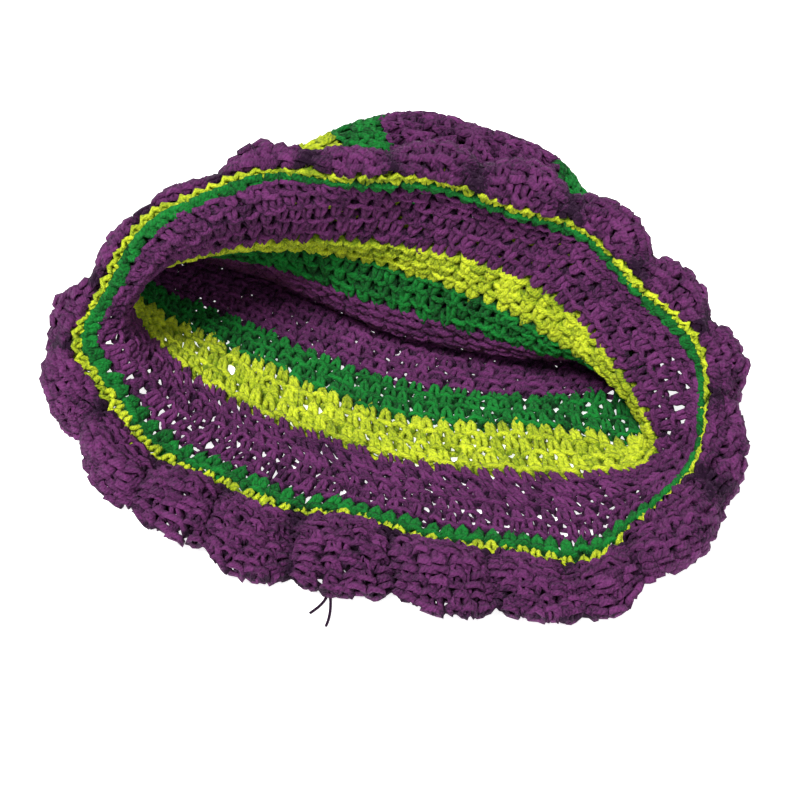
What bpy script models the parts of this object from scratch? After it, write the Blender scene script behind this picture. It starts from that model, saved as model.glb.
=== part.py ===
"""A striped crocheted hat with a gathered frill round its edge, lying on its side.

The mouth faces forward (-Y). The lower half of the cloth lies flat on the surface, the upper half stands up
from a fold inside the mouth, and behind that fold the cloth turns back and up again into the crown.

Metres, +Z up, +X to the right when looking into the mouth. The origin is the middle of the footprint.
"""

import math
from typing import NamedTuple

import bmesh
import bpy
import numpy as np

# Sizes of the hat
MOUTH_WIDTH = 0.230
LYING_DEPTH = 0.160
MOUTH_RISE = 0.087
WALL = 0.0040
FOLD_ROOM = 0.0060
STRIPE_GAP = 0.0003

# Sizes of the frill
FRILL_WIDTH = 0.034
FRILL_WALL = 0.0038
FRILL_PUFF = 0.0195
FRILL_SEAM = 0.0006
FRILL_WAVES = 20

# The rim's own slow waves: how far they swing, how many there are and over how many rows they fade
RIM_WAVE = 0.0018
RIM_WAVES = 11
RIM_WAVE_ROWS = 3.0

# Fineness of the faceted cloth
FACETS_PER_PLACE = 7
FACETS_PER_WAVE = 10
FRILL_LOOPS = 4
PLACES = 8

# How round the cloth stays where it turns back, as a share of an even run
ROUNDNESS = 0.62

# Shares that shape the frill: how far it is pushed out from behind the rim, how much of a wave leans over its
# neighbour, how much shorter it is in the dips, how much its free edge curls down and how uneven the waves are
FRILL_PUSH = 1.9
FRILL_LEAN = 0.12
FRILL_DIP = 0.36
FRILL_CURL = 0.78
FRILL_UNEVEN = 0.28

# How often round the rim the waves swell and shrink, how often they bunch up and how far, as a share of the
# way round, how full a wave is (1 is a plain arch, less is fuller) and how soon after the rim it rises
FRILL_SWELLS = 7
FRILL_BUNCHES = 5
FRILL_BUNCHING = 0.0033
FRILL_FULLNESS = 0.75
FRILL_SPRING = 3.0


class Width(NamedTuple):
    """One round of the cloth from side to side, as shares of half the mouth's width."""

    row: float
    centre: float
    half: float
    corner: float


class Around(NamedTuple):
    """One value at each of the eight places round the cloth, seen looking into the mouth."""

    row: float
    bottom: float
    bottom_right: float
    right: float
    top_right: float
    top: float
    top_left: float
    left: float
    bottom_left: float


class Lift(NamedTuple):
    """How much of the lower layer's thickness and the fold's room the upper places of a round stand on."""

    row: float
    share: float


class Stripe(NamedTuple):
    """A band of one colour between two rounds, counted in rows from the rim."""

    name: str
    first_row: float
    last_row: float
    steps: int
    colour: tuple[float, float, float]


class Reach(NamedTuple):
    """Where the frill's free edge lies from the rim at each place, how far its waves puff out and how far it
    runs straight on from the rim, as shares."""

    place: str
    x: float
    y: float
    z: float
    puff: float
    run_on: float


# Colours of the yarn
PURPLE = (0.10, 0.02, 0.10)
GREEN = (0.01, 0.20, 0.03)
LIME = (0.50, 0.66, 0.03)

# Rounds of the cloth, from the rim (row 0) to the middle of the crown
APEX_ROW = 32.0

WIDTHS = [
    Width(0.0, -0.02, 0.97, 0.64),
    Width(3.5, 0.02, 0.88, 0.64),
    Width(7.0, -0.04, 0.83, 0.62),
    Width(10.0, -0.05, 0.82, 0.60),
    Width(13.0, -0.03, 0.82, 0.58),
    Width(16.0, 0.02, 0.83, 0.55),
    Width(18.5, 0.07, 0.80, 0.58),
    Width(21.0, 0.11, 0.65, 0.62),
    Width(24.0, 0.195, 0.40, 0.66),
    Width(27.0, 0.22, 0.275, 0.70),
    Width(APEX_ROW, 0.225, 0.00, 0.70),
]

# Forward and back, as shares of the depth that the hat lies over
DEPTHS = [
    Around(0.0, -0.38, -0.45, -0.15, 0.09, 0.19, 0.175, 0.00, -0.235),
    Around(3.5, -0.28, -0.33, -0.18, 0.085, 0.21, 0.115, 0.045, -0.12),
    Around(7.0, -0.17, -0.22, -0.19, 0.06, 0.20, 0.15, 0.19, 0.00),
    Around(10.0, -0.05, -0.09, -0.12, 0.04, 0.21, 0.225, 0.275, 0.14),
    Around(13.0, 0.05, 0.00, 0.03, 0.045, 0.17, 0.275, 0.345, 0.22),
    Around(16.0, 0.15, 0.08, 0.125, 0.085, 0.145, 0.31, 0.395, 0.30),
    Around(18.5, 0.24, 0.175, 0.21, 0.165, 0.20, 0.36, 0.44, 0.36),
    Around(21.0, 0.325, 0.375, 0.325, 0.25, 0.23, 0.36, 0.44, 0.525),
    Around(24.0, 0.475, 0.475, 0.425, 0.31, 0.29, 0.38, 0.51, 0.56),
    Around(27.0, 0.58, 0.55, 0.48, 0.39, 0.36, 0.40, 0.53, 0.60),
    Around(APEX_ROW, 0.515, 0.515, 0.515, 0.515, 0.515, 0.515, 0.515, 0.515),
]

# Heights, as shares of the rise of the mouth
HEIGHTS = [
    Around(0.0, 0.00, 0.00, 0.32, 0.68, 0.87, 0.77, 0.345, 0.00),
    Around(3.5, 0.00, 0.00, 0.23, 0.54, 0.67, 0.77, 0.37, 0.00),
    Around(7.0, 0.00, 0.00, 0.115, 0.39, 0.45, 0.52, 0.23, 0.00),
    Around(10.0, 0.00, 0.00, 0.09, 0.24, 0.29, 0.37, 0.14, 0.00),
    Around(13.0, 0.00, 0.00, 0.115, 0.10, 0.10, 0.20, 0.09, 0.00),
    Around(16.0, 0.00, 0.00, 0.16, 0.01, 0.00, 0.035, 0.08, 0.00),
    Around(18.5, 0.00, 0.00, 0.20, 0.07, 0.06, 0.15, 0.18, 0.00),
    Around(21.0, 0.02, 0.03, 0.25, 0.15, 0.18, 0.32, 0.42, 0.07),
    Around(24.0, 0.115, 0.14, 0.37, 0.30, 0.35, 0.50, 0.59, 0.275),
    Around(27.0, 0.345, 0.345, 0.48, 0.42, 0.49, 0.545, 0.62, 0.48),
    Around(APEX_ROW, 0.59, 0.59, 0.59, 0.59, 0.59, 0.59, 0.59, 0.59),
]

LIFTS = [Lift(0.0, 1.0), Lift(21.0, 1.0), Lift(24.0, 0.7), Lift(27.0, 0.4), Lift(APEX_ROW, 0.0)]

# Which places stand on the lower layer: only the top three
STANDS_ON_LAYER = np.array([0.0, 0.0, 0.0, 1.0, 1.0, 1.0, 0.0, 0.0])

STRIPES = [
    Stripe("lime_edging", 0.0, 1.0, 1, LIME),
    Stripe("green_edging", 1.0, 2.0, 1, GREEN),
    Stripe("side_purple_band", 2.0, 7.0, 4, PURPLE),
    Stripe("side_lime_stripe", 7.0, 10.0, 2, LIME),
    Stripe("side_green_stripe", 10.0, 13.0, 2, GREEN),
    Stripe("middle_purple_band", 13.0, 21.0, 6, PURPLE),
    Stripe("crown_lime_stripe", 21.0, 24.0, 2, LIME),
    Stripe("crown_green_stripe", 24.0, 27.0, 2, GREEN),
    Stripe("crown_centre", 27.0, APEX_ROW, 3, PURPLE),
]

FRILL = [
    Reach("bottom", 0.00, -0.98, 0.00, 1.00, 0.28),
    Reach("bottom_right", 0.20, -0.68, 0.00, 1.00, 0.28),
    Reach("right", 0.10, -0.02, -0.72, 0.45, 0.12),
    Reach("top_right", 0.10, 0.36, -0.68, 0.60, 0.08),
    Reach("top", 0.00, 0.44, -0.90, 0.34, 0.09),
    Reach("top_left", -0.08, 0.36, -0.90, 0.28, 0.07),
    Reach("left", -0.18, 0.12, -0.80, 0.36, 0.10),
    Reach("bottom_left", -0.28, -0.82, 0.00, 1.00, 0.28),
]


def through(knots, values, at, least_slope=0.0):
    """Smooth values at the given places, on a curve that passes through the values at the knots.

    Where the curve turns back on itself its slope would be short and the turn sharp, so no slope is shorter
    than the least one.
    """
    knots = np.asarray(knots, float)
    at = np.asarray(at, float)
    tail = (1,) * (values.ndim - 1)
    spans = np.diff(knots).reshape(-1, *tail)
    steps = np.diff(values, axis=0) / spans
    slopes = np.empty_like(values)
    slopes[0], slopes[-1] = steps[0], steps[-1]
    slopes[1:-1] = (steps[:-1] * spans[1:] + steps[1:] * spans[:-1]) / (spans[1:] + spans[:-1])
    length = np.linalg.norm(slopes, axis=-1, keepdims=True)
    slopes = slopes * np.maximum(1.0, least_slope / np.maximum(length, 1e-9))
    index = np.clip(np.searchsorted(knots, at, side="right") - 1, 0, len(knots) - 2)
    span = (knots[index + 1] - knots[index]).reshape(-1, *tail)
    t = (at - knots[index]).reshape(-1, *tail) / span
    rise, run = t * t * (3 - 2 * t), t * (1 - t)
    return (
        values[index] * (1 - rise)
        + values[index + 1] * rise
        + slopes[index] * span * run * (1 - t)
        - slopes[index + 1] * span * run * t
    )


def round_knots():
    """The eight places of every round as points, and past the crown's middle the opposite places again."""
    widths = np.array(WIDTHS)
    depths = np.array(DEPTHS)
    heights = np.array(HEIGHTS)
    rows = widths[:, 0]
    centre, half = (widths[:, k : k + 1] * MOUTH_WIDTH / 2 for k in (1, 2))
    corner = half * widths[:, 3:4]
    side = [0 * half, corner, half, corner, 0 * half, -corner, -half, -corner]
    x = centre + np.hstack(side)
    y = depths[:, 1:] * LYING_DEPTH
    lifts = np.array(LIFTS)
    lift = np.interp(rows, lifts[:, 0], lifts[:, 1])[:, None] * STANDS_ON_LAYER * (WALL + FOLD_ROOM)
    z = WALL / 2 + lift + heights[:, 1:] * MOUTH_RISE
    points = np.stack([x, y, z], axis=2)
    past = np.roll(points[-3:-1][::-1], PLACES // 2, axis=1)
    past_rows = 2 * rows[-1] - rows[-3:-1][::-1]
    return np.concatenate([rows, past_rows]), np.concatenate([points, past])


KNOT_ROWS, KNOT_POINTS = round_knots()
MEAN_ROW = np.linalg.norm(np.diff(KNOT_POINTS, axis=0), axis=2).mean(axis=1).sum() / KNOT_ROWS[-1]
RIM_LENGTH = np.linalg.norm(KNOT_POINTS[0] - np.roll(KNOT_POINTS[0], 1, axis=0), axis=1).sum()


def cloth(row, place):
    """Points of the cloth's middle layer for arrays of rows (from the rim) and places (0 to 8 round)."""
    shape = np.broadcast(row, place).shape
    row = np.broadcast_to(row, shape).ravel()
    place = np.broadcast_to(place, shape).ravel() % PLACES
    rows_used, which = np.unique(row, return_inverse=True)
    rounds = through(KNOT_ROWS, KNOT_POINTS, rows_used, ROUNDNESS * MEAN_ROW)
    marks = np.arange(-2, PLACES + 3)
    points = np.empty((len(row), 3))
    for k, line in enumerate(rounds):
        chosen = which == k
        spacing = np.linalg.norm(line - np.roll(line, 1, axis=0), axis=1).mean()
        line = np.concatenate([line[-2:], line, line[:3]])
        points[chosen] = through(marks, line, place[chosen], ROUNDNESS * spacing)
    way = 2 * math.pi * place / PLACES
    swing = RIM_WAVE * np.exp(-((row / RIM_WAVE_ROWS) ** 2)) * np.sin(RIM_WAVES * way)
    points[:, 0] += swing * np.sin(way)
    points[:, 1] -= swing * np.cos(way)
    points[:, 2] = np.maximum(points[:, 2], WALL / 2)
    return points.reshape(*shape, 3)


def unit(vectors):
    """The same directions at length one."""
    return vectors / np.maximum(np.linalg.norm(vectors, axis=-1, keepdims=True), 1e-9)


def frames(row, place):
    """Points of the cloth with the direction round, the direction to the crown and the inward normal."""
    nudge = 0.02
    points = cloth(row, place)
    around = unit(cloth(row, place + nudge) - cloth(row, place - nudge))
    inwards = unit(cloth(row + nudge, place) - cloth(row - nudge * (row > nudge), place))
    return points, around, inwards, unit(np.cross(around, inwards))


def faces_between(mesh, loops):
    """Quads from each closed loop of vertices to the next one."""
    for near, far in zip(loops, loops[1:]):
        count = len(near)
        for k in range(count):
            mesh.faces.new((near[k], near[(k + 1) % count], far[(k + 1) % count], far[k]))


def cut_edge(mesh, outer, inner):
    """The narrow edge face of a band, split the same way on both sides of the gap to its neighbour."""
    count = len(outer)
    for k in range(count):
        after = (k + 1) % count
        mesh.faces.new((outer[k], outer[after], inner[after]))
        mesh.faces.new((outer[k], inner[after], inner[k]))


def fan(mesh, tip, loop, outwards):
    """Triangles from one vertex to a closed loop."""
    count = len(loop)
    for k in range(count):
        a, b = loop[k], loop[(k + 1) % count]
        mesh.faces.new((tip, b, a) if outwards else (tip, a, b))


def add_object(name, mesh, colour):
    """Makes the named object from a finished bmesh, smooth, with its own yarn material."""
    bmesh.ops.recalc_face_normals(mesh, faces=mesh.faces)
    data = bpy.data.meshes.new(name)
    mesh.to_mesh(data)
    mesh.free()
    data.shade_smooth()
    data.set_sharp_from_angle(angle=math.radians(50))
    material = bpy.data.materials.new(name)
    material.use_nodes = True
    shader = material.node_tree.nodes["Principled BSDF"]
    shader.inputs["Base Color"].default_value = (*colour, 1.0)
    shader.inputs["Roughness"].default_value = 0.85
    shader.inputs["Metallic"].default_value = 0.0
    data.materials.append(material)
    piece = bpy.data.objects.new(name, data)
    bpy.context.scene.collection.objects.link(piece)
    return piece


def add_stripe(stripe):
    """One closed band of cloth with an outer side, an inner side and its two edges."""
    inset = STRIPE_GAP / 2 / MEAN_ROW
    closed_top = stripe.last_row >= APEX_ROW
    first = stripe.first_row + inset * (stripe.first_row > 0)
    last = stripe.last_row - inset
    rows = np.linspace(first, last, stripe.steps + 1)
    if closed_top:
        rows = np.linspace(first, APEX_ROW, stripe.steps + 1)[:-1]
    places = np.arange(PLACES * FACETS_PER_PLACE) / FACETS_PER_PLACE
    points, _, _, normal = frames(rows[:, None], places[None, :])
    outer = points - normal * WALL / 2
    inner = points + normal * WALL / 2
    outer[..., 2] = np.maximum(outer[..., 2], 0.0)
    mesh = bmesh.new()
    outer_loops = [[mesh.verts.new(p) for p in ring] for ring in outer]
    inner_loops = [[mesh.verts.new(p) for p in ring] for ring in inner]
    faces_between(mesh, outer_loops)
    faces_between(mesh, inner_loops[::-1])
    cut_edge(mesh, outer_loops[0], inner_loops[0])
    if closed_top:
        apex = cloth(np.array([APEX_ROW]), np.array([0.0]))[0]
        lean = unit(normal[-1].mean(axis=0))
        fan(mesh, mesh.verts.new(apex - lean * WALL / 2), outer_loops[-1], False)
        fan(mesh, mesh.verts.new(apex + lean * WALL / 2), inner_loops[-1], True)
    else:
        cut_edge(mesh, outer_loops[-1], inner_loops[-1])
    return add_object(stripe.name, mesh, stripe.colour)


def rim_edge(place):
    """The rim's point and directions on the flat facets of its edge, so that the frill seats on them evenly."""
    facet = place * FACETS_PER_PLACE
    low = np.floor(facet)
    share = (facet - low)[..., None]
    zero = np.zeros_like(place)
    near = frames(zero, low / FACETS_PER_PLACE)
    far = frames(zero, (low + 1) / FACETS_PER_PLACE)
    return [a * (1 - share) + b * share for a, b in zip(near, far)]


def frill_place(turn):
    """The place round the rim of a count of waves, some of them wider than others."""
    way = turn / FRILL_WAVES
    return PLACES * (way + FRILL_BUNCHING * np.sin(2 * math.pi * FRILL_BUNCHES * way))


def frill_sheet(across, turn):
    """Points of the frill's middle layer, from the rim (0) to its free edge (1), for a count of waves round."""
    way = turn / FRILL_WAVES
    place = frill_place(turn)
    start, around, inwards, normal = rim_edge(place)
    start = start - inwards * FRILL_SEAM
    marks = np.arange(-2, PLACES + 3)
    shares = np.array([entry[1:] for entry in FRILL])
    shares = through(marks, np.concatenate([shares[-2:], shares, shares[:3]]), place.ravel() % PLACES)
    shares = shares.reshape(*place.shape, 5)
    reach = shares[..., :3] * FRILL_WIDTH
    w = across[..., None]
    turn = turn[..., None]
    size = shares[..., 3:4] * (1 + FRILL_UNEVEN * np.sin(2 * math.pi * FRILL_SWELLS * way[..., None] + 1.0))
    puff = np.abs(np.sin(math.pi * turn)) ** (FRILL_FULLNESS / shares[..., 3:4])
    run_on = -inwards * FRILL_WIDTH * shares[..., 4:] - normal * (WALL + FRILL_WALL) / 2 * FRILL_PUSH
    reach = reach * (1 - FRILL_DIP * (1 - puff))
    base = start + 2 * w * (1 - w) * run_on + w * w * reach
    run = unit(2 * (1 - 2 * w) * run_on + 2 * w * reach)
    rise = unit(np.cross(run, around))
    grown = (1 - (1 - w) ** FRILL_SPRING) * (1 - FRILL_CURL * w**3)
    lean = FRILL_LEAN * RIM_LENGTH / FRILL_WAVES * (1 - (1 - w) ** 2)
    points = base + rise * FRILL_PUFF * size * grown * puff - around * lean * np.sin(2 * math.pi * turn)
    points[..., 2] = np.maximum(points[..., 2], FRILL_WALL / 2)
    return points


def add_frill():
    """The gathered frill: one closed wavy band that starts at the rim and lies on the surface in front."""
    count = FRILL_WAVES * FACETS_PER_WAVE
    across, turn = np.meshgrid(np.linspace(0, 1, FRILL_LOOPS), np.arange(count) / FACETS_PER_WAVE, indexing="ij")
    nudge = 0.02
    along = frill_sheet(across, turn + nudge) - frill_sheet(across, turn - nudge)
    low, high = np.clip(across - nudge, 0, 1), np.clip(across + nudge, 0, 1)
    out = frill_sheet(high, turn) - frill_sheet(low, turn)
    middle = frill_sheet(across, turn)
    normal = unit(np.cross(out, along))
    normal[0] = rim_edge(frill_place(turn[0]))[3]
    upper = middle + normal * FRILL_WALL / 2
    under = middle - normal * FRILL_WALL / 2
    under[..., 2] = np.maximum(under[..., 2], 0.0)
    mesh = bmesh.new()
    upper_loops = [[mesh.verts.new(p) for p in ring] for ring in upper]
    under_loops = [[mesh.verts.new(p) for p in ring] for ring in under]
    faces_between(mesh, upper_loops)
    faces_between(mesh, under_loops[::-1])
    cut_edge(mesh, under_loops[0], upper_loops[0])
    cut_edge(mesh, under_loops[-1], upper_loops[-1])
    return add_object("ruffle", mesh, PURPLE)


def centre_on_footprint(pieces):
    """Moves every piece so that the origin is the middle of the footprint, on the surface."""
    corners = np.array([v.co[:] for piece in pieces for v in piece.data.vertices])
    low, high = corners.min(axis=0), corners.max(axis=0)
    shift = ((low[0] + high[0]) / 2, (low[1] + high[1]) / 2, low[2])
    for piece in pieces:
        piece.location = (-shift[0], -shift[1], -shift[2])
    return shift


def main():
    for old in list(bpy.data.objects):
        bpy.data.objects.remove(old, do_unlink=True)
    pieces = [add_stripe(stripe) for stripe in STRIPES]
    pieces.append(add_frill())
    bpy.context.view_layer.update()
    return centre_on_footprint(pieces)


if __name__ == "__main__":
    main()
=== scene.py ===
"""Looks of a striped crocheted hat with a gathered frill, lying on its side on a white table.

The hat is made of yarn, stitch by stitch, on the same cloth surface as the construction model. Metres, +Z up.
"""

import logging
import math
from dataclasses import dataclass, field
from enum import Enum
from functools import cached_property
from typing import NamedTuple

import bpy
import numpy as np
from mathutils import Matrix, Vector


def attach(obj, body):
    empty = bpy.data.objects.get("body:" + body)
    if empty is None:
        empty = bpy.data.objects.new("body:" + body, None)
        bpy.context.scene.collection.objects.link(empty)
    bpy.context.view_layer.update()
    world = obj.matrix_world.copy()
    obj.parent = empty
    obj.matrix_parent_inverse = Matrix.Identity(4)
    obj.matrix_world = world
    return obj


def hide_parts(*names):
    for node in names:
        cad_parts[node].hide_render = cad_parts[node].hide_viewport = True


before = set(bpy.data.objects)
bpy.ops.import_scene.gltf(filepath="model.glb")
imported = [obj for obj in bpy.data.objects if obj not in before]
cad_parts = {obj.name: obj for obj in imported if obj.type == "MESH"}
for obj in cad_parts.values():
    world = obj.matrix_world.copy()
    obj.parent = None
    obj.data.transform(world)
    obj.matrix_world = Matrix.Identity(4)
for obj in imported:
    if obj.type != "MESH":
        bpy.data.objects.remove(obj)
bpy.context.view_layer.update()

logging.basicConfig(level=logging.INFO, format="%(message)s")
log = logging.getLogger("hat")

PLACES = 8
APEX_ROW = 32.0


class Width(NamedTuple):
    """One round of the cloth from side to side, as shares of half the mouth's width."""

    row: float
    centre: float
    half: float
    corner: float


class Around(NamedTuple):
    """One value at each of the eight places round the cloth, seen looking into the mouth."""

    row: float
    bottom: float
    bottom_right: float
    right: float
    top_right: float
    top: float
    top_left: float
    left: float
    bottom_left: float


class Lift(NamedTuple):
    """How much of the lower layer's thickness and the fold's room the upper places of a round stand on."""

    row: float
    share: float


class Reach(NamedTuple):
    """Where the frill's free edge lies from the rim at each place, how far its waves puff out and how far it
    runs straight on from the rim, as shares."""

    place: str
    x: float
    y: float
    z: float
    puff: float
    run_on: float


class Bend(NamedTuple):
    """One bend of the yarn: along the row and towards the crown in stitches, and inwards in yarn radii."""

    along: float
    towards_crown: float
    inwards: float


# The same rounds of cloth as in the construction model, from the rim (row 0) to the middle of the crown
WIDTHS = [
    Width(0.0, -0.02, 0.97, 0.64),
    Width(3.5, 0.02, 0.88, 0.64),
    Width(7.0, -0.04, 0.83, 0.62),
    Width(10.0, -0.05, 0.82, 0.60),
    Width(13.0, -0.03, 0.82, 0.58),
    Width(16.0, 0.02, 0.83, 0.55),
    Width(18.5, 0.07, 0.80, 0.58),
    Width(21.0, 0.11, 0.65, 0.62),
    Width(24.0, 0.195, 0.40, 0.66),
    Width(27.0, 0.22, 0.275, 0.70),
    Width(APEX_ROW, 0.225, 0.00, 0.70),
]

DEPTHS = [
    Around(0.0, -0.38, -0.45, -0.15, 0.09, 0.19, 0.175, 0.00, -0.235),
    Around(3.5, -0.28, -0.33, -0.18, 0.085, 0.21, 0.115, 0.045, -0.12),
    Around(7.0, -0.17, -0.22, -0.19, 0.06, 0.20, 0.15, 0.19, 0.00),
    Around(10.0, -0.05, -0.09, -0.12, 0.04, 0.21, 0.225, 0.275, 0.14),
    Around(13.0, 0.05, 0.00, 0.03, 0.045, 0.17, 0.275, 0.345, 0.22),
    Around(16.0, 0.15, 0.08, 0.125, 0.085, 0.145, 0.31, 0.395, 0.30),
    Around(18.5, 0.24, 0.175, 0.21, 0.165, 0.20, 0.36, 0.44, 0.36),
    Around(21.0, 0.325, 0.375, 0.325, 0.25, 0.23, 0.36, 0.44, 0.525),
    Around(24.0, 0.475, 0.475, 0.425, 0.31, 0.29, 0.38, 0.51, 0.56),
    Around(27.0, 0.58, 0.55, 0.48, 0.39, 0.36, 0.40, 0.53, 0.60),
    Around(APEX_ROW, 0.515, 0.515, 0.515, 0.515, 0.515, 0.515, 0.515, 0.515),
]

HEIGHTS = [
    Around(0.0, 0.00, 0.00, 0.32, 0.68, 0.87, 0.77, 0.345, 0.00),
    Around(3.5, 0.00, 0.00, 0.23, 0.54, 0.67, 0.77, 0.37, 0.00),
    Around(7.0, 0.00, 0.00, 0.115, 0.39, 0.45, 0.52, 0.23, 0.00),
    Around(10.0, 0.00, 0.00, 0.09, 0.24, 0.29, 0.37, 0.14, 0.00),
    Around(13.0, 0.00, 0.00, 0.115, 0.10, 0.10, 0.20, 0.09, 0.00),
    Around(16.0, 0.00, 0.00, 0.16, 0.01, 0.00, 0.035, 0.08, 0.00),
    Around(18.5, 0.00, 0.00, 0.20, 0.07, 0.06, 0.15, 0.18, 0.00),
    Around(21.0, 0.02, 0.03, 0.25, 0.15, 0.18, 0.32, 0.42, 0.07),
    Around(24.0, 0.115, 0.14, 0.37, 0.30, 0.35, 0.50, 0.59, 0.275),
    Around(27.0, 0.345, 0.345, 0.48, 0.42, 0.49, 0.545, 0.62, 0.48),
    Around(APEX_ROW, 0.59, 0.59, 0.59, 0.59, 0.59, 0.59, 0.59, 0.59),
]

LIFTS = [Lift(0.0, 1.0), Lift(21.0, 1.0), Lift(24.0, 0.7), Lift(27.0, 0.4), Lift(APEX_ROW, 0.0)]

# The places of the upper layer, which stands on the lower one
STANDS_ON_LAYER = np.array([0.0, 0.0, 0.0, 1.0, 1.0, 1.0, 0.0, 0.0])

# The frill's free edge at the eight places
FRILL = [
    Reach("bottom", 0.00, -0.98, 0.00, 1.00, 0.28),
    Reach("bottom_right", 0.20, -0.68, 0.00, 1.00, 0.28),
    Reach("right", 0.10, -0.02, -0.72, 0.45, 0.12),
    Reach("top_right", 0.10, 0.36, -0.68, 0.60, 0.08),
    Reach("top", 0.00, 0.44, -0.90, 0.34, 0.09),
    Reach("top_left", -0.08, 0.36, -0.90, 0.28, 0.07),
    Reach("left", -0.18, 0.12, -0.80, 0.36, 0.10),
    Reach("bottom_left", -0.28, -0.82, 0.00, 1.00, 0.28),
]

# A single crochet stitch, whose foot hooks into the next row towards the crown: its legs and its top link.
# Bends of the link between these two shares along the row stand out where an edge has tips.
TIP_FROM = 0.4
TIP_TO = 0.6

LEGS = [
    Bend(0.20, 0.02, 0.20),
    Bend(0.27, 0.42, 1.00),
    Bend(0.33, 0.90, 1.05),
    Bend(0.50, 1.20, 0.80),
    Bend(0.67, 0.90, 1.05),
    Bend(0.73, 0.42, 1.00),
    Bend(0.80, 0.02, 0.20),
    Bend(0.88, 0.12, -0.70),
    Bend(0.66, 0.60, -1.10),
    Bend(0.50, 1.02, -0.90),
    Bend(0.34, 0.60, -1.10),
    Bend(0.12, 0.12, -0.70),
]

TOP_LINK = [
    Bend(-0.08, 0.14, 0.30),
    Bend(0.18, 0.24, 1.35),
    Bend(0.52, 0.30, 1.60),
    Bend(0.86, 0.16, 1.35),
    Bend(1.08, 0.02, 0.20),
    Bend(0.84, -0.04, -1.00),
    Bend(0.50, -0.02, -1.25),
    Bend(0.14, 0.04, -1.00),
]


def unit(vectors: np.ndarray) -> np.ndarray:
    """The same directions at length one."""
    return vectors / np.maximum(np.linalg.norm(vectors, axis=-1, keepdims=True), 1e-9)


def through(knots: np.ndarray, values: np.ndarray, at: np.ndarray, least_slope: float = 0.0) -> np.ndarray:
    """Smooth values at the given places, on a curve that passes through the values at the knots.

    Args:
        knots: The places where the values are known, rising.
        values: The known values, one for each knot.
        at: The places that are asked for.
        least_slope: No slope is shorter, so that a turn back stays round.

    Returns:
        The values at the places that were asked for.
    """
    knots = np.asarray(knots, float)
    at = np.asarray(at, float)
    tail = (1,) * (values.ndim - 1)
    spans = np.diff(knots).reshape(-1, *tail)
    steps = np.diff(values, axis=0) / spans
    slopes = np.empty_like(values)
    slopes[0], slopes[-1] = steps[0], steps[-1]
    slopes[1:-1] = (steps[:-1] * spans[1:] + steps[1:] * spans[:-1]) / (spans[1:] + spans[:-1])
    length = np.linalg.norm(slopes, axis=-1, keepdims=True)
    slopes = slopes * np.maximum(1.0, least_slope / np.maximum(length, 1e-9))
    index = np.clip(np.searchsorted(knots, at, side="right") - 1, 0, len(knots) - 2)
    span = (knots[index + 1] - knots[index]).reshape(-1, *tail)
    t = (at - knots[index]).reshape(-1, *tail) / span
    rise, run = t * t * (3 - 2 * t), t * (1 - t)
    return (
        values[index] * (1 - rise)
        + values[index + 1] * rise
        + slopes[index] * span * run * (1 - t)
        - slopes[index + 1] * span * run * t
    )


def through_ring(values: np.ndarray, places: np.ndarray, least_slope: float = 0.0) -> np.ndarray:
    """Smooth values round a closed ring of the eight places.

    Args:
        values: The known values, one for each place.
        places: Places round that are asked for.
        least_slope: No slope is shorter, so that a turn back stays round.

    Returns:
        The values at the places that were asked for.
    """
    marks = np.arange(-2, PLACES + 3)
    return through(marks, np.concatenate([values[-2:], values, values[:3]]), places % PLACES, least_slope)


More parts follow.
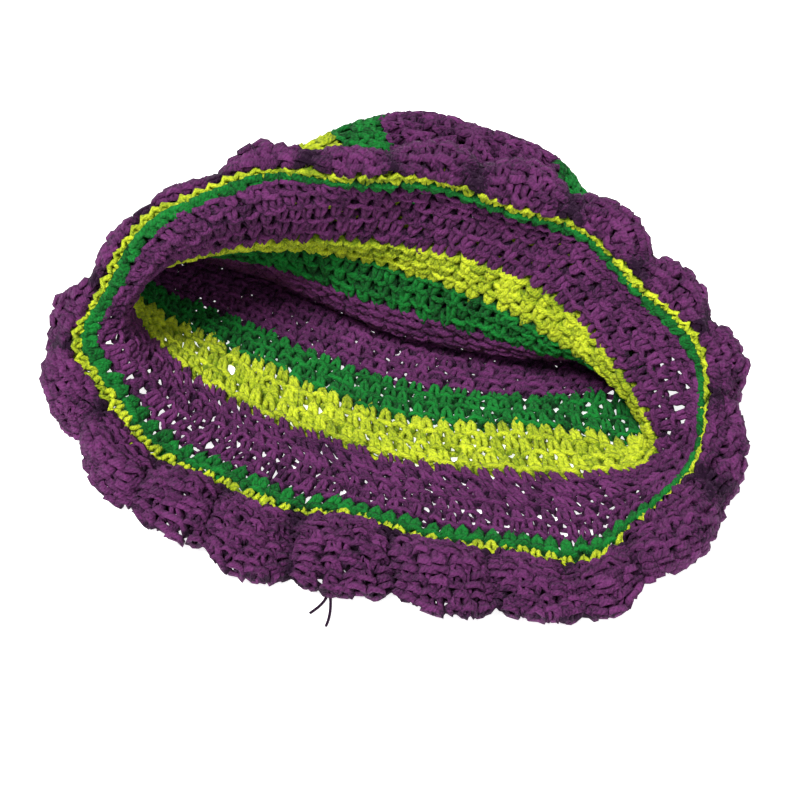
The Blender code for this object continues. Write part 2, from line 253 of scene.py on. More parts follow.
@dataclass
class Ground:
    """A sheet of cloth as a fine grid: even steps of rows, and even shares of the way round in each row.

    Args:
        first_row: The row of the grid's first line.
        row_step: Rows from one line to the next.
        points: The cloth's middle layer, lines by shares by 3.
        normals: The directions to the side that shows inside the mouth.
        last_row: No stitch reaches past this row.
        painted_light: Painted light at each share of the way round, 0 to 1: lower values paint shade into the
            colour.
    """

    first_row: float
    row_step: float
    points: np.ndarray
    normals: np.ndarray
    last_row: float
    painted_light: np.ndarray

    @classmethod
    def from_lines(
        cls,
        first_row: float,
        row_step: float,
        lines: np.ndarray,
        last_row: float,
        painted_light: np.ndarray | None = None,
    ) -> "Ground":
        """Spreads the points of closed lines evenly along each line and finds the normals.

        Args:
            first_row: The row of the first line.
            row_step: Rows from one line to the next.
            lines: Points of closed lines, lines by points by 3.
            last_row: No stitch reaches past this row.
            painted_light: Painted light at each point of a line: lower values paint shade into the colour.
                With it, the points are spread the same way on every line, so that waves stay in line. Without
                it, no point gets painted shade.

        Returns:
            The grid.
        """
        count = lines.shape[1]
        even = np.empty_like(lines)
        steps = np.linalg.norm(np.roll(lines, -1, axis=1) - lines, axis=2) + 1e-9
        if painted_light is not None:
            steps[:] = steps.mean(axis=0)
        for k, line in enumerate(lines):
            closed = np.concatenate([line, line[:1]])
            way = np.concatenate([[0.0], np.cumsum(steps[k])])
            wanted = np.arange(count) / count * way[-1]
            even[k] = np.stack([np.interp(wanted, way, closed[:, axis]) for axis in range(3)], axis=1)
        if painted_light is None:
            painted_light = np.ones(count)
        else:
            painted_light = np.interp(wanted, way, np.append(painted_light, painted_light[0]))
        around = np.roll(even, -1, axis=1) - np.roll(even, 1, axis=1)
        across = np.gradient(even, axis=0)
        normals = unit(np.cross(around, across))
        return cls(first_row, row_step, even, normals, last_row, painted_light)

    def length(self, row: float) -> float:
        """How long one round of the cloth is at a row."""
        nearest = np.clip((row - self.first_row) / self.row_step, 0, len(self.points) - 1)
        line = self.points[int(round(nearest))]
        return float(np.linalg.norm(line - np.roll(line, 1, axis=0), axis=1).sum())

    def at(self, row: np.ndarray, share: np.ndarray, inwards: np.ndarray) -> np.ndarray:
        """Points on or beside the cloth.

        Args:
            row: Rows from the rim.
            share: Shares of the way round.
            inwards: Distances from the cloth's middle layer to its inner side.

        Returns:
            The points.
        """
        line = (np.minimum(row, self.last_row) - self.first_row) / self.row_step
        low = np.clip(np.floor(line).astype(int), 0, len(self.points) - 2)
        up = (line - low)[..., None]
        turn = (share % 1.0) * self.points.shape[1]
        left = np.floor(turn).astype(int) % self.points.shape[1]
        right = (left + 1) % self.points.shape[1]
        over = (turn - np.floor(turn))[..., None]
        found = []
        for grid in (self.points, self.normals):
            near = grid[low, left] * (1 - over) + grid[low, right] * over
            far = grid[low + 1, left] * (1 - over) + grid[low + 1, right] * over
            found.append(near * (1 - up) + far * up)
        return found[0] + unit(found[1]) * inwards[..., None]


@dataclass
class HatShape:
    """The hat's sizes and its cloth surface, the same as in the construction model.

    Args:
        mouth_width: The mouth from side to side, without the frill.
        lying_depth: The length that the depths are shares of.
        mouth_rise: The height that the heights are shares of.
        wall: The cloth's thickness.
        fold_room: Free height between the lower layer and what lies on it.
        roundness: Least slope at a turn back, as a share of the mean spacing.
        rim_wave: How far the rim waves in and out.
        rim_waves: How many waves the rim has.
        rim_wave_rows: In how many rows those waves fade.
        shift: From the tables' own zero to the middle of the footprint.
        lines_per_row: Lines of the grid to a row of cloth.
        points_round: Points in a line of the grid.
    """

    mouth_width: float = 0.230
    lying_depth: float = 0.160
    mouth_rise: float = 0.087
    wall: float = 0.0040
    fold_room: float = 0.0060
    roundness: float = 0.62
    rim_wave: float = 0.0018
    rim_waves: int = 11
    rim_wave_rows: float = 3.0
    shift: tuple[float, float, float] = (-0.002742, -0.000771, 0.0)
    lines_per_row: int = 4
    points_round: int = 640

    @cached_property
    def knots(self) -> tuple[np.ndarray, np.ndarray]:
        """The rows of the rounds and their eight points, with two rounds past the crown's middle."""
        widths = np.array(WIDTHS)
        rows = widths[:, 0]
        centre, half = (widths[:, k : k + 1] * self.mouth_width / 2 for k in (1, 2))
        corner = half * widths[:, 3:4]
        x = centre + np.hstack([0 * half, corner, half, corner, 0 * half, -corner, -half, -corner])
        y = np.array(DEPTHS)[:, 1:] * self.lying_depth
        lifts = np.array(LIFTS)
        standing = np.interp(rows, lifts[:, 0], lifts[:, 1])[:, None] * STANDS_ON_LAYER
        lift = standing * (self.wall + self.fold_room)
        z = self.wall / 2 + lift + np.array(HEIGHTS)[:, 1:] * self.mouth_rise
        points = np.stack([x, y, z], axis=2)
        past = np.roll(points[-3:-1][::-1], PLACES // 2, axis=1)
        return np.concatenate([rows, 2 * rows[-1] - rows[-3:-1][::-1]]), np.concatenate([points, past])

    @cached_property
    def rim_length(self) -> float:
        """How long the rim is, from place to place."""
        line = self.knots[1][0]
        return float(np.linalg.norm(line - np.roll(line, 1, axis=0), axis=1).sum())

    def cloth(self, rows: np.ndarray, places: np.ndarray) -> np.ndarray:
        """Points of the cloth's middle layer.

        Args:
            rows: Rows from the rim, one for each line.
            places: Places round (0 to 8), the same for every line.

        Returns:
            Points, rows by places by 3.
        """
        knot_rows, knot_points = self.knots
        mean_row = np.linalg.norm(np.diff(knot_points, axis=0), axis=2).mean(axis=1).sum() / knot_rows[-1]
        lines = []
        for line in through(knot_rows, knot_points, rows, self.roundness * mean_row):
            spacing = np.linalg.norm(line - np.roll(line, 1, axis=0), axis=1).mean()
            lines.append(through_ring(line, places, self.roundness * spacing))
        points = np.array(lines)
        way = 2 * math.pi * places / PLACES
        fade = np.exp(-((rows / self.rim_wave_rows) ** 2))[:, None]
        swing = self.rim_wave * fade * np.sin(self.rim_waves * way)
        points[..., 0] += swing * np.sin(way)
        points[..., 1] -= swing * np.cos(way)
        points[..., 2] = np.maximum(points[..., 2], self.wall / 2)
        return points

    def ground(self) -> Ground:
        """The hat's cloth as a grid for stitches, in its place on the table."""
        rows = np.arange(round(APEX_ROW * self.lines_per_row) + 1) / self.lines_per_row
        places = np.arange(self.points_round) / self.points_round * PLACES
        lines = self.cloth(rows, places) - np.array(self.shift)
        ground = Ground.from_lines(0.0, 1 / self.lines_per_row, lines, APEX_ROW)
        ground.normals[-1] = unit(ground.normals[-2].mean(axis=0))
        return ground

    def rim(self, places: np.ndarray) -> tuple[np.ndarray, np.ndarray, np.ndarray, np.ndarray]:
        """The rim at some places round.

        Args:
            places: Places round, in any order.

        Returns:
            Points, directions round, directions to the crown and inward normals.
        """
        nudge = 0.02
        flat = places.ravel()
        line, above = self.cloth(np.array([0.0, nudge]), flat)
        after = self.cloth(np.zeros(1), flat + nudge)[0]
        before = self.cloth(np.zeros(1), flat - nudge)[0]
        around = unit(after - before)
        crownwards = unit(above - line)
        normal = unit(np.cross(around, crownwards))
        return tuple(a.reshape(*places.shape, 3) for a in (line, around, crownwards, normal))


@dataclass
class FrillShape:
    """The gathered frill's sizes and surface, the same as in the construction model.

    Args:
        hat: The hat that it is worked on.
        width: From the rim to the free edge.
        wall: The frill's thickness.
        puff: How far its waves puff out.
        seam: The gap to the rim.
        waves: How many waves it has.
        push: How far it first runs out over the rim, in half walls of both cloths.
        lean: How far each wave leans over, as a share of its length.
        dip: How much shorter the frill is in its valleys.
        curl: How far its free edge curls back down.
        uneven: How much the waves differ in size.
        swells: How often they grow and shrink round the rim.
        bunches: How often they crowd together round the rim.
        bunching: How much they crowd, as a share of the way round.
        fullness: Lower values make fuller waves with narrower valleys.
        spring: How steeply the waves rise from the rim.
        rows: Rounds of stitches across it.
        lines_per_row: Lines of the grid to a round of stitches.
        points_round: Points in a line of the grid.
        valley_width: Higher values make the valleys with painted shade narrower.
        rim_margin: Stitches end this share of a round before the rim.
    """

    hat: HatShape
    width: float = 0.034
    wall: float = 0.0038
    puff: float = 0.0195
    seam: float = 0.0006
    waves: int = 20
    push: float = 1.9
    lean: float = 0.12
    dip: float = 0.36
    curl: float = 0.78
    uneven: float = 0.28
    swells: int = 7
    bunches: int = 5
    bunching: float = 0.0033
    fullness: float = 0.75
    spring: float = 3.0
    rows: int = 10
    lines_per_row: int = 3
    points_round: int = 1600
    valley_width: float = 1.35
    rim_margin: float = 0.15

    def sheet(self, across: np.ndarray, turn: np.ndarray) -> np.ndarray:
        """Points of the frill's middle layer.

        Args:
            across: Shares from the rim (0) to the free edge (1).
            turn: Counts of waves round the rim.

        Returns:
            The points.
        """
        way = turn / self.waves
        place = PLACES * (way + self.bunching * np.sin(2 * math.pi * self.bunches * way))
        start, around, crownwards, normal = self.hat.rim(place)
        start = start - crownwards * self.seam
        shares = through_ring(np.array([entry[1:] for entry in FRILL]), place.ravel())
        shares = shares.reshape(*place.shape, 5)
        w = across[..., None]
        turn = turn[..., None]
        size = shares[..., 3:4] * (1 + self.uneven * np.sin(2 * math.pi * self.swells * way[..., None] + 1.0))
        puff = np.abs(np.sin(math.pi * turn)) ** (self.fullness / shares[..., 3:4])
        outwards = normal * (self.hat.wall + self.wall) / 2 * self.push
        run_on = -crownwards * self.width * shares[..., 4:] - outwards
        reach = shares[..., :3] * self.width * (1 - self.dip * (1 - puff))
        base = start + 2 * w * (1 - w) * run_on + w * w * reach
        run = unit(2 * (1 - 2 * w) * run_on + 2 * w * reach)
        rise = unit(np.cross(run, around))
        grown = (1 - (1 - w) ** self.spring) * (1 - self.curl * w**3)
        lean = self.lean * self.hat.rim_length / self.waves * (1 - (1 - w) ** 2)
        points = base + rise * self.puff * size * grown * puff - around * lean * np.sin(2 * math.pi * turn)
        points[..., 2] = np.maximum(points[..., 2], self.wall / 2)
        return points

    def ground(self) -> Ground:
        """The frill as a grid for stitches: its free edge is row 0 and the rim is its last row."""
        lines = self.rows * self.lines_per_row + 1
        turns = np.arange(self.points_round) / self.points_round * self.waves
        trial = np.linspace(1, 0, 4 * lines)
        sheet = self.sheet(*np.meshgrid(trial, turns, indexing="ij"))
        way = np.concatenate([[0.0], np.cumsum(np.linalg.norm(np.diff(sheet, axis=0), axis=2).mean(axis=1))])
        across = np.interp(np.linspace(0, way[-1], lines), way, trial)
        points = self.sheet(*np.meshgrid(across, turns, indexing="ij")) - np.array(self.hat.shift)
        # Painted shade: the yarn's colour is darker towards the valleys between the frill's waves
        painted_light = np.clip(np.abs(np.sin(math.pi * turns)) * self.valley_width, 0, 1)
        return Ground.from_lines(0.0, 1 / self.lines_per_row, points, self.rows - self.rim_margin, painted_light)


@dataclass
class YarnWorker:
    """Lays stitches on a cloth and makes one mesh of their yarn.

    Args:
        radius: Half the yarn's thickness.
        stitch_width: How wide a stitch is.
        sides: Corners of the yarn's cross-section.
        slack: How unevenly the stitches lie, in stitches.
        seed: For the unevenness.
        loose_inwards: How much more of the slack goes in and out of the cloth.
        bend_slack: The slack of single bends, as a share of the stitches' slack.
        bend_inwards: How much more of the bends' slack goes in and out of the cloth.
        thickness_spread: How much the loops differ in thickness, as a share.
        fewest: No round has fewer stitches.
        loop_light: How much of a loop's lightness is its own tone, which differs at random. The rest is
            painted shade from its depth.
        lit_depth: The share of the greatest height over the middle layer above which the yarn gets no painted
            shade.
        twists_per_bend: Repeats of the yarn's pattern to a bend.
        plump: How much thicker the yarn is where the cloth stands up.
        flat_height: Cloth up to this height is pressed flat.
        plump_over: Over how much more height the yarn gets plump.
    """

    radius: float = 0.00108
    stitch_width: float = 0.0053
    sides: int = 4
    slack: float = 0.11
    seed: int = 3
    loose_inwards: float = 1.5
    bend_slack: float = 0.45
    bend_inwards: float = 2.5
    thickness_spread: float = 0.05
    fewest: int = 6
    loop_light: float = 0.4
    lit_depth: float = 0.8
    twists_per_bend: float = 0.6
    plump: float = 0.17
    flat_height: float = 0.004
    plump_over: float = 0.012
    random: np.random.Generator = field(init=False)

    def __post_init__(self) -> None:
        """Starts the unevenness from its seed."""
        self.random = np.random.default_rng(self.seed)

    def row_of(
        self, ground: Ground, row: float, height: float, bends: list[Bend], phase: float
    ) -> np.ndarray:
        """The yarn's middle line in every stitch of one row.

        Args:
            ground: The cloth.
            row: The row's edge towards the rim.
            height: How high the row is, in rows of the cloth.
            bends: The closed path of the yarn in one stitch.
            phase: Where the first stitch starts, in stitches.

        Returns:
            Points, stitches by bends by 3.
        """
        count = max(self.fewest, round(ground.length(row + 0.5) / self.stitch_width))
        loose = self.random.normal(0, self.slack, (count, 1, 3)) * (1.0, 1.0, self.loose_inwards)
        wobble = self.random.normal(0, self.slack * self.bend_slack, (count, len(bends), 3))
        wobble = wobble * (1.0, 1.0, self.bend_inwards)
        spot = np.array(bends) + loose + wobble
        share = (np.arange(count)[:, None] + phase + spot[..., 0]) / count
        return ground.at(row + spot[..., 1] * height, share, spot[..., 2] * self.radius)

    def shades(self, ground: Ground, count: int, bends: list[Bend], phase: float) -> np.ndarray:
        """Painted lightness of the yarn: loops differ in tone, and painted shade darkens crevices and
        valleys.

        Args:
            ground: The cloth.
            count: How many loops there are.
            bends: The path of one loop.
            phase: Where the first loop starts, in stitches.

        Returns:
            A value from 0 to 1 for each vertex.
        """
        # Painted shade: yarn near the cloth's middle layer, between the stitches, is darker; the rest is each
        # loop's own random tone
        depth = np.abs(np.array(bends)[:, 2])
        depth = np.clip(depth / (self.lit_depth * depth.max()), 0, 1)
        mixed = self.loop_light * self.random.random((count, 1)) + (1 - self.loop_light) * depth[None, :]
        # Painted shade: yarn in the frill's valleys is darker
        along = np.arange(count)[:, None] + phase + np.array(bends)[:, 0]
        turn = (along / count % 1.0) * len(ground.painted_light)
        mixed = mixed * ground.painted_light[turn.astype(int) % len(ground.painted_light)]
        return np.repeat(mixed.ravel(), self.sides)

    def plumpness(self, lines: np.ndarray) -> np.ndarray:
        """How much thicker the yarn of each loop is where the cloth stands up and isn't pressed flat.

        Args:
            lines: Points, loops by bends by 3.

        Returns:
            A factor for each loop.
        """
        height = lines[..., 2].mean(axis=1)
        return 1 + self.plump * np.clip((height - self.flat_height) / self.plump_over, 0, 1)

    def tubes(self, lines: np.ndarray, thickness: np.ndarray) -> tuple[np.ndarray, np.ndarray, np.ndarray]:
        """Closed tubes of yarn round closed lines.

        Args:
            lines: Points, loops by bends by 3.
            thickness: The radius of each loop.

        Returns:
            Vertices, quads, and the places of the quads' corners along and round the yarn.
        """
        loops, bends, _ = lines.shape
        forward = unit(np.roll(lines, -1, axis=1) - np.roll(lines, 1, axis=1))
        away = lines - lines.mean(axis=1, keepdims=True)
        away = unit(away - forward * (away * forward).sum(axis=2, keepdims=True))
        aside = np.cross(forward, away)
        turn = np.arange(self.sides) / self.sides * 2 * math.pi + math.pi / 4
        ring = away[:, :, None] * np.cos(turn)[:, None] + aside[:, :, None] * np.sin(turn)[:, None]
        vertices = lines[:, :, None] + ring * thickness[:, None, None, None]
        bend, side = np.meshgrid(np.arange(bends), np.arange(self.sides), indexing="ij")
        after, beside = (bend + 1) % bends, (side + 1) % self.sides
        corners = [(bend, side), (bend, beside), (after, beside), (after, side)]
        quads = np.stack([b * self.sides + s for b, s in corners], axis=-1).reshape(-1, 4)
        along = np.stack([bend, bend, bend + 1, bend + 1], axis=-1)
        across = np.stack([side, side + 1, side + 1, side], axis=-1)
        twists = round(bends * self.twists_per_bend) / bends
        places = np.stack([along * twists, across / self.sides], axis=-1).reshape(-1, 2)
        step = bends * self.sides
        faces = (quads[None] + np.arange(loops)[:, None, None] * step).reshape(-1, 4)
        return vertices.reshape(-1, 3), faces, np.tile(places, (loops, 1))


class MeshMaker:
    """Joins many arrays of tubes into one object's mesh."""

    def __init__(self) -> None:
        """Starts with nothing."""
        self.vertices: list[np.ndarray] = []
        self.faces: list[np.ndarray] = []
        self.places: list[np.ndarray] = []
        self.shades: list[np.ndarray] = []
        self.count = 0

    def add(self, vertices: np.ndarray, faces: np.ndarray, places: np.ndarray, shades: np.ndarray) -> None:
        """Adds one array of tubes.

        Args:
            vertices: Points.
            faces: Quads of the points' numbers.
            places: Along and round the yarn, for every corner.
            shades: How light each point's loop is painted, 0 to 1: its own tone and painted shade.
        """
        self.vertices.append(vertices)
        self.faces.append(faces + self.count)
        self.places.append(places)
        self.shades.append(shades)
        self.count += len(vertices)

    def make(self, name: str, material: bpy.types.Material) -> bpy.types.Object:
        """Makes the object.

        Args:
            name: Its name.
            material: Its finish.

        Returns:
            The object, at the origin.
        """
        vertices = np.concatenate(self.vertices)
        vertices[:, 2] = np.maximum(vertices[:, 2], 0.0)
        faces = np.concatenate(self.faces)
        mesh = bpy.data.meshes.new(name)
        mesh.vertices.add(len(vertices))
        mesh.vertices.foreach_set("co", vertices.astype(np.float32).ravel())
        mesh.loops.add(faces.size)
        mesh.loops.foreach_set("vertex_index", faces.astype(np.int32).ravel())
        mesh.polygons.add(len(faces))
        mesh.polygons.foreach_set("loop_start", np.arange(0, faces.size, 4, dtype=np.int32))
        mesh.update(calc_edges=True)
        layer = mesh.uv_layers.new(name="UVMap")
        layer.data.foreach_set("uv", np.concatenate(self.places).astype(np.float32).ravel())
        # The shade attribute carries each loop's tone and its painted shade to the yarn's material
        shade = mesh.attributes.new("shade", "FLOAT", "POINT")
        shade.data.foreach_set("value", np.concatenate(self.shades).astype(np.float32))
        mesh.shade_smooth()
        mesh.materials.append(material)
        piece = bpy.data.objects.new(name, mesh)
        bpy.context.scene.collection.objects.link(piece)
        return piece


class Socket:
    """A node's output, which can be used in sums as a number is."""

    def __init__(self, shop: "MaterialShop", output: bpy.types.NodeSocket) -> None:
        """Keeps the output and the shop that made it."""
        self.shop = shop
        self.output = output

    def _sum(self, operation: str, first: "Socket | float", second: "Socket | float") -> "Socket":
        """One Math node on two values."""
        return self.shop.node("ShaderNodeMath", {"operation": operation}, {0: first, 1: second})

    def __add__(self, other: "Socket | float") -> "Socket":
        """Sum."""
        return self._sum("ADD", self, other)

    __radd__ = __add__

    def __mul__(self, other: "Socket | float") -> "Socket":
        """Product."""
        return self._sum("MULTIPLY", self, other)

    __rmul__ = __mul__

    def __sub__(self, other: "Socket | float") -> "Socket":
        """Difference."""
        return self._sum("SUBTRACT", self, other)

    def __rsub__(self, other: "Socket | float") -> "Socket":
        """Difference the other way round."""
        return self._sum("SUBTRACT", other, self)

    def sine(self) -> "Socket":
        """The sine of the value."""
        return self.shop.node("ShaderNodeMath", {"operation": "SINE"}, {0: self})

    def size(self) -> "Socket":
        """The value without its sign."""
        return self.shop.node("ShaderNodeMath", {"operation": "ABSOLUTE"}, {0: self})


class MaterialShop:
    """One material and the ways to add nodes to it."""

    def __init__(self, name: str) -> None:
        """Starts a material with its own shader."""
        self.material = bpy.data.materials.new(name)
        self.material.use_nodes = True
        self.tree = self.material.node_tree
        self.shader = self.tree.nodes["Principled BSDF"]

    def node(self, kind: str, settings: dict, values: dict, output: int | str = 0) -> Socket:
        """Adds a node.

        Args:
            kind: The node's type.
            settings: Its own settings, which are set first.
            values: Numbers, colours or sockets for its inputs, by number or name.
            output: Which output is wanted.

        Returns:
            The output as a socket.
        """
        made = self.tree.nodes.new(kind)
        for key, value in settings.items():
            setattr(made, key, value)
        for key, value in values.items():
            if isinstance(value, Socket):
                self.tree.links.new(value.output, made.inputs[key])
            else:
                made.inputs[key].default_value = value
        return Socket(self, made.outputs[output])

    def blend(self, factor: Socket, first: tuple | Socket, second: tuple | Socket) -> Socket:
        """A colour between two colours.

        Args:
            factor: 0 for the first colour and 1 for the second.
            first: A colour.
            second: A colour.

        Returns:
            The blended colour.
        """
        settings = {"data_type": "RGBA", "blend_type": "MIX", "clamp_factor": True}
        return self.node("ShaderNodeMix", settings, {0: factor, 6: first, 7: second}, 2)

    def feed(self, name: str, value: Socket | float | tuple) -> None:
        """Feeds one of the shader's sockets."""
        if isinstance(value, Socket):
            self.tree.links.new(value.output, self.shader.inputs[name])
        else:
            self.shader.inputs[name].default_value = value


@dataclass(frozen=True)
class YarnFinish:
    """A soft two-ply yarn in one colour.

    Args:
        name: The material's name.
        slot: The record's material slot. Not used.
        lit: The lit copy of the colour, painted on the crests of the plies: painted light.
        shaded_colour: The shaded copy of the colour, painted between the plies and fibres: painted shade.
        glint: Colour of the sheen.
        plies: Light bands to a repeat of the yarn's pattern.
        fibre_scale: Scale of the fibres' noise.
        fibre_detail: Detail of the fibres' noise.
        fibre_roughness: Roughness of the fibres' noise.
        patch_scale: Scale of the slow change of lightness.
        crest_light: How much painted light the crests of the plies get over the painted shade in the grooves.
        fibre_light: How much the fibres lighten it.
        shade_light: How much the shade attribute, each loop's own tone with its painted shade, lightens it.
        patch_light: How much the slow change lightens it.
        darkening: How much is taken off all of them together.
        crest_relief: Height of the plies in the bump, where the fibres' height is one.
        relief: The bump's distance.
    """

    name: str
    slot: str
    lit: tuple[float, float, float, float]
    shaded_colour: tuple[float, float, float, float]
    glint: tuple[float, float, float, float]
    plies: float = 3.0
    fibre_scale: float = 850.0
    fibre_detail: float = 5.0
    fibre_roughness: float = 0.7
    patch_scale: float = 90.0
    crest_light: float = 0.25
    fibre_light: float = 2.2
    shade_light: float = 1.25
    patch_light: float = 0.7
    darkening: float = 2.05
    crest_relief: float = 0.2
    relief: float = 0.0016

    def material(self) -> bpy.types.Material:
        """Builds the yarn's material."""
        shop = MaterialShop(self.name)
        where = shop.node("ShaderNodeTexCoord", {}, {}, "Object")
        yarn = shop.node("ShaderNodeTexCoord", {}, {}, "UV")
        along = shop.node("ShaderNodeSeparateXYZ", {}, {0: yarn}, 0)
        across = shop.node("ShaderNodeSeparateXYZ", {}, {0: yarn}, 1)
        crest = ((along + across) * (self.plies * math.pi)).sine().size()
        fibres = {"Scale": self.fibre_scale, "Detail": self.fibre_detail, "Roughness": self.fibre_roughness}
        fibre = shop.node("ShaderNodeTexNoise", {}, {"Vector": where, **fibres})
        patches = {"Scale": self.patch_scale, "Detail": 2.0}
        patch = shop.node("ShaderNodeTexNoise", {}, {"Vector": where, **patches})
        shade = shop.node("ShaderNodeAttribute", {"attribute_name": "shade"}, {}, "Fac")
        # Painted light and shade: the colour blends from the shaded copy to the lit copy by the plies' crests
        # and the shade attribute's painted shade, and by the fibres' and patches' tone, which differs at
        # random
        light = crest * self.crest_light + fibre * self.fibre_light
        light = light + shade * self.shade_light + patch * self.patch_light - self.darkening
        shop.feed("Base Color", shop.blend(light, self.shaded_colour, self.lit))
        relief = crest * self.crest_relief + fibre
        bump = shop.node("ShaderNodeBump", {}, {"Strength": 0.8, "Distance": self.relief, "Height": relief})
        shop.feed("Normal", bump)
        shop.feed("Roughness", 0.8)
        shop.feed("Specular IOR Level", 0.15)
        shop.feed("Sheen Weight", 0.12)
        shop.feed("Sheen Roughness", 0.5)
        shop.feed("Sheen Tint", self.glint)
        return shop.material


class Yarn(Enum):
    """The three yarns of the hat."""

    # Each yarn has a lit copy and a shaded copy of its colour: painted light and painted shade
    PURPLE = YarnFinish(
        name="purple_yarn",
        slot="purple_yarn",
        lit=(0.200, 0.038, 0.175, 1.0),
        shaded_colour=(0.012, 0.001, 0.014, 1.0),
        glint=(0.8, 0.4, 0.8, 1.0),
    )
    GREEN = YarnFinish(
        name="green_yarn",
        slot="green_yarn",
        lit=(0.008, 0.280, 0.036, 1.0),
        shaded_colour=(0.001, 0.030, 0.005, 1.0),
        glint=(0.3, 0.8, 0.4, 1.0),
    )
    LIME = YarnFinish(
        name="lime_yarn",
        slot="lime_yarn",
        lit=(0.820, 0.930, 0.035, 1.0),
        shaded_colour=(0.150, 0.250, 0.004, 1.0),
        glint=(0.9, 1.0, 0.5, 1.0),
    )


@dataclass(frozen=True)
class StripeLook:
    """One stripe of the hat.

    Args:
        node: The solid that its stitches replace.
        first_row: Its edge towards the rim, in rows of the cloth.
        last_row: Its edge towards the crown.
        rounds: How many rounds of stitches it has.
        yarn: Its yarn.
        swell: How much thicker than usual its yarn is.
        tips: How far the middle of each top link stands out towards the rim, in stitches.
        bulge: How much further than usual its stitches stand out of the cloth.
    """

    node: str
    first_row: float
    last_row: float
    rounds: int
    yarn: Yarn
    swell: float = 1.0
    tips: float = 0.0
    bulge: float = 1.0


STRIPES = [
    StripeLook("lime_edging", 0.05, 0.65, 1, Yarn.LIME, 0.92, 0.9),
    StripeLook("green_edging", 0.65, 1.50, 1, Yarn.GREEN, 1.30),
    StripeLook("side_purple_band", 1.65, 7.0, 5, Yarn.PURPLE, 0.91),
    StripeLook("side_lime_stripe", 7.0, 10.0, 3, Yarn.LIME, 1.10),
    StripeLook("side_green_stripe", 10.0, 13.0, 3, Yarn.GREEN, 0.96),
    StripeLook("middle_purple_band", 13.0, 21.0, 10, Yarn.PURPLE),
    StripeLook("crown_lime_stripe", 21.0, 24.0, 6, Yarn.LIME),
    StripeLook("crown_green_stripe", 24.0, 27.0, 4, Yarn.GREEN),
    StripeLook("crown_centre", 27.0, APEX_ROW, 5, Yarn.PURPLE),
]


@dataclass
class Crochet:
    """Works rows of stitches on a cloth and dresses one node of the hat with them."""

    ground: Ground
    worker: YarnWorker
    finishes: dict[Yarn, bpy.types.Material]

    def stripe(self, look: StripeLook) -> bpy.types.Object:
        """Makes the yarn of one stripe.

        Args:
            look: The stripe.

        Returns:
            The piece, which replaces its node.
        """
        maker = MeshMaker()
        height = (look.last_row - look.first_row) / look.rounds
        tipped = [
            bend._replace(towards_crown=bend.towards_crown - look.tips * (TIP_FROM < bend.along < TIP_TO))
            for bend in TOP_LINK
        ]
        for row in look.first_row + height * np.arange(look.rounds):
            phase = self.worker.random.random()
            for bends in (LEGS, tipped):
                bends = [b._replace(inwards=b.inwards * look.bulge) for b in bends]
                lines = self.worker.row_of(self.ground, row, height, bends, phase)
                thickness = self.worker.random.normal(1.0, self.worker.thickness_spread, len(lines))
                thickness = thickness * self.worker.radius * look.swell
                thickness *= self.worker.plumpness(lines)
                vertices, faces, places = self.worker.tubes(lines, thickness)
                shades = self.worker.shades(self.ground, len(lines), bends, phase)
                maker.add(vertices, faces, places, shades)
        piece = maker.make(look.node + "_stitches", self.finishes[look.yarn])
        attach(piece, "root")
        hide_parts(look.node)
        log.info("%s: %d quads", piece.name, len(piece.data.polygons))
        return piece


@dataclass
class YarnTails:
    """The two ends of yarn that lie on the table in front of the frill.

    Args:
        radius: Half the yarn's thickness.
        hidden: How far each one goes on under the frill.
        hidden_rise: How high its hidden end is.
        thickness: Shares of the radius at the five points of each one.
        start: Where both come out from under the frill.
        ends: The other points of the left one and the right one.
    """

    radius: float = 0.00060
    hidden: float = 0.006
    hidden_rise: float = 0.003
    thickness: tuple[float, ...] = (1.0, 0.9, 0.75, 1.0, 0.8)
    start: tuple[float, float] = (-0.0214, -0.0858)
    ends: tuple[tuple[tuple[float, float], ...], ...] = (
        ((-0.0232, -0.0880), (-0.0258, -0.0905), (-0.0282, -0.0924)),
        ((-0.0206, -0.0899), (-0.0212, -0.0940), (-0.0226, -0.0977)),
    )

    def build(self, material: bpy.types.Material) -> list[bpy.types.Object]:
        """Makes both tails.

        Args:
            material: The yarn's finish.

        Returns:
            The two pieces.
        """
        made = []
        for name, route in zip(("yarn_tail_left", "yarn_tail_right"), self.ends):
            bpy.ops.object.select_all(action="DESELECT")
            bpy.ops.curve.primitive_nurbs_path_add(radius=1.0, location=(0, 0, 0))
            tail = bpy.context.object
            tail.name = name
            tail.data.bevel_depth = self.radius
            tail.data.bevel_resolution = 2
            tail.data.use_fill_caps = True
            points = tail.data.splines[0].points
            whole = [(self.start[0], self.start[1] + self.hidden), self.start, *route]
            for k, (point, spot) in enumerate(zip(points, whole)):
                point.co = (spot[0], spot[1], self.radius + self.hidden_rise * (k == 0), 1.0)
                point.radius = self.thickness[k]
            bpy.ops.object.convert(target="MESH")
            tail = bpy.context.object
            tail.data.name = name
            tail.data.shade_smooth()
            tail.data.materials.clear()
            tail.data.materials.append(material)
            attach(tail, "root")
            log.info("%s: %d faces", name, len(tail.data.polygons))
            made.append(tail)
        return made


class Sun(NamedTuple):
    """One wide soft light: the direction to it, its strength, and how wide it looks in degrees."""

    name: str
    towards: tuple[float, float, float]
    strength: float
    angle: float


SUNS = [
    Sun("key_light", (-0.30, -0.25, 1.0), 4.0, 20.0),
    Sun("fill_light", (0.6, -0.5, 0.8), 0.8, 60.0),
]


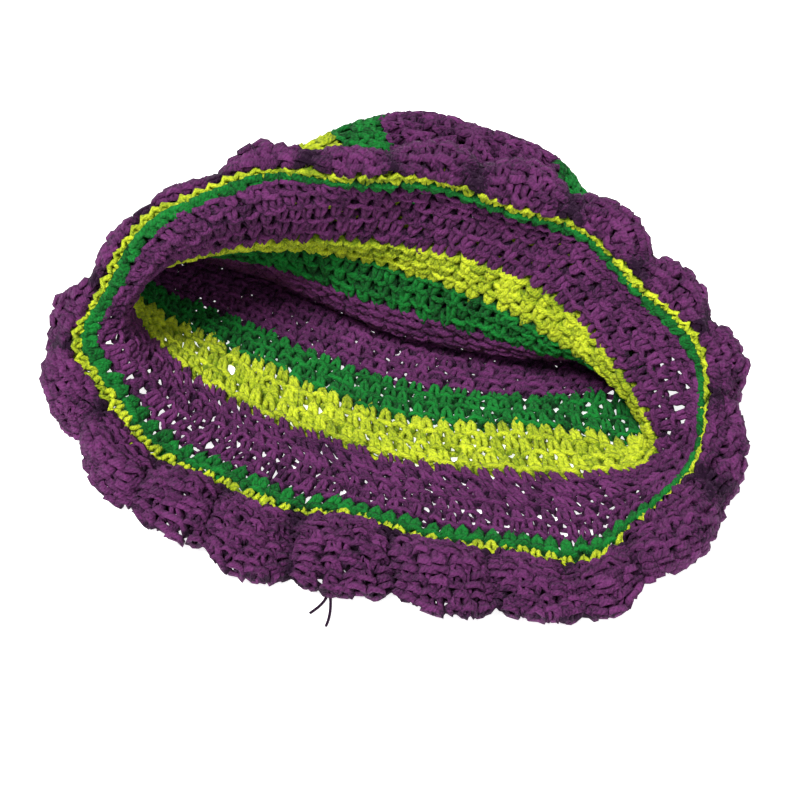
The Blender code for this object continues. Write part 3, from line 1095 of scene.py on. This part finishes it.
@dataclass
class Studio:
    """The white table, the soft light and the camera at the photograph's angle.

    Args:
        target: What the camera looks at.
        elevation: The camera's angle over the table, in degrees.
        distance: From the target to the camera.
        lens: The camera's focal length, in millimetres.
        table_size: The table's side.
        table_drop: How far the table lies below the hat's lowest point.
        table_glow: How strongly the table glows.
        surroundings: How bright the light from all round is.
    """

    target: tuple[float, float, float] = (0.002742, 0.000771, 0.0)
    elevation: float = 52.0
    distance: float = 1.0
    lens: float = 123.75
    table_size: float = 8.0
    table_drop: float = 0.0001
    table_glow: float = 0.85
    surroundings: float = 0.18

    def table(self) -> None:
        """Lays the white table, which glows a little so that it stays white under the hat."""
        bpy.ops.object.select_all(action="DESELECT")
        bpy.ops.mesh.primitive_plane_add(size=self.table_size, location=(0, 0, -self.table_drop))
        top = bpy.context.object
        top.name = "table_top"
        shop = MaterialShop("white_table")
        shop.feed("Base Color", (0.9, 0.9, 0.9, 1.0))
        shop.feed("Roughness", 0.9)
        shop.feed("Specular IOR Level", 0.0)
        shop.feed("Emission Color", (1.0, 1.0, 1.0, 1.0))
        shop.feed("Emission Strength", self.table_glow)
        top.data.materials.append(shop.material)

    def light(self, sun: Sun) -> None:
        """Adds one wide soft light."""
        turn = (-Vector(sun.towards)).to_track_quat("-Z", "Y").to_euler()
        bpy.ops.object.light_add(type="SUN", location=Vector(sun.towards) * 2, rotation=turn)
        lamp = bpy.context.object
        lamp.name = sun.name
        lamp.data.energy = sun.strength
        lamp.data.angle = math.radians(sun.angle)

    def build(self) -> None:
        """Sets up the table, the lights, the surroundings and the camera."""
        self.table()
        for sun in SUNS:
            self.light(sun)
        world = bpy.data.worlds.new("soft_surroundings")
        bpy.context.scene.world = world
        world.use_nodes = True
        sky = world.node_tree.nodes["Background"]
        sky.inputs["Color"].default_value = (1.0, 1.0, 1.0, 1.0)
        sky.inputs["Strength"].default_value = self.surroundings
        angle = math.radians(self.elevation)
        back = Vector((0, -math.cos(angle), math.sin(angle))) * self.distance
        bpy.ops.object.camera_add(location=Vector(self.target) + back, rotation=(math.pi / 2 - angle, 0, 0))
        camera = bpy.context.object
        camera.name = "photo_camera"
        camera.data.lens = self.lens
        camera.data.sensor_width = 36.0
        camera.data.clip_start = 0.05
        camera.data.clip_end = 20.0
        bpy.context.scene.camera = camera
        bpy.context.scene.view_settings.view_transform = "Standard"


def main() -> None:
    """Dresses the hat in yarn, stripe by stripe, and sets up the studio."""
    finishes = {yarn: yarn.value.material() for yarn in Yarn}
    hat = HatShape()
    crochet = Crochet(hat.ground(), YarnWorker(), finishes)
    for look in STRIPES:
        crochet.stripe(look)
    frill = FrillShape(hat)
    frill_worker = YarnWorker(radius=0.00142, stitch_width=0.0051, sides=3, seed=11, slack=0.17)
    frill_crochet = Crochet(frill.ground(), frill_worker, finishes)
    frill_crochet.stripe(StripeLook("ruffle", 0.0, frill.rows, frill.rows, Yarn.PURPLE, bulge=1.5))
    YarnTails().build(finishes[Yarn.PURPLE])
    Studio().build()


if __name__ == "__main__":
    main()
